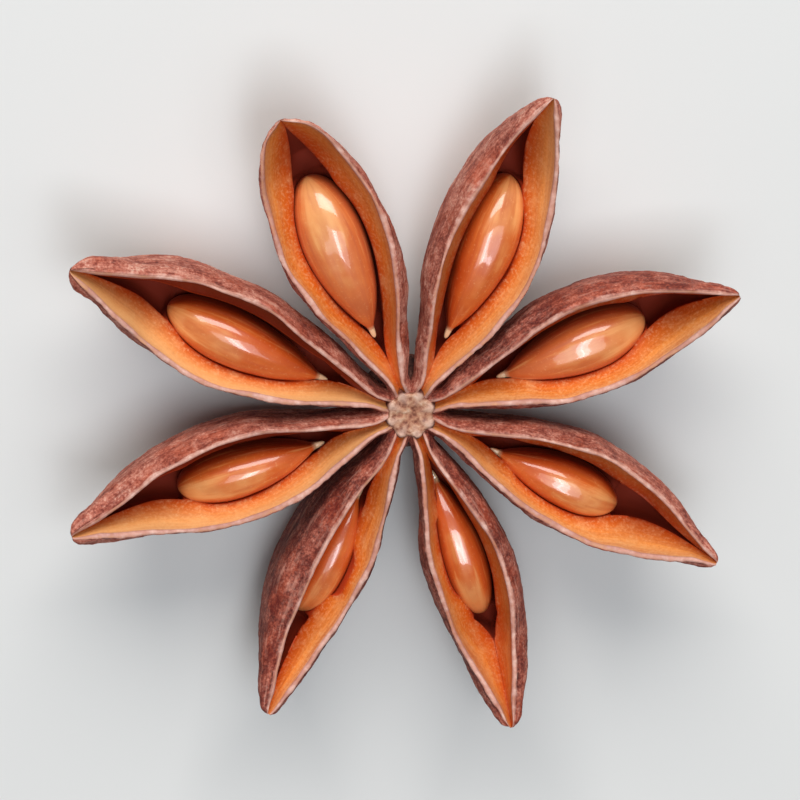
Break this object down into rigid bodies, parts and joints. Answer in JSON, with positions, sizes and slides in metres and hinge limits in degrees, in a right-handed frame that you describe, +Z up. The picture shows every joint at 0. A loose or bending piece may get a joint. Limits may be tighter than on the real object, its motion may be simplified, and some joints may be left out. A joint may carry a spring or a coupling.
{
  "type": "star anise pod",
  "caption": "Dried star anise pod: open boat-shaped carpels fused round a short column, each holding a loose glossy seed.",
  "frame": {"origin": "bottom centre of the pod's box, on the surface that the keels rest on and close under the middle column", "axes": "+Z up, out of the open side of the pod; +X to the right and +Y away from the viewer in a view from above"},
  "size_m": [0.0348, 0.034, 0.009],
  "materials": {
    "husk": "dry and matt outside, mauve-brown and finely wrinkled; smooth satin orange-brown inside",
    "seed": "hard polished seed coat, warm brown"
  },
  "bodies": {
    "root": {"pod": "husk", "seed_1": "seed", "seed_2": "seed", "seed_3": "seed", "seed_4": "seed", "seed_5": "seed", "seed_6": "seed", "seed_7": "seed", "seed_8": "seed"}
  },
  "joints": []
}
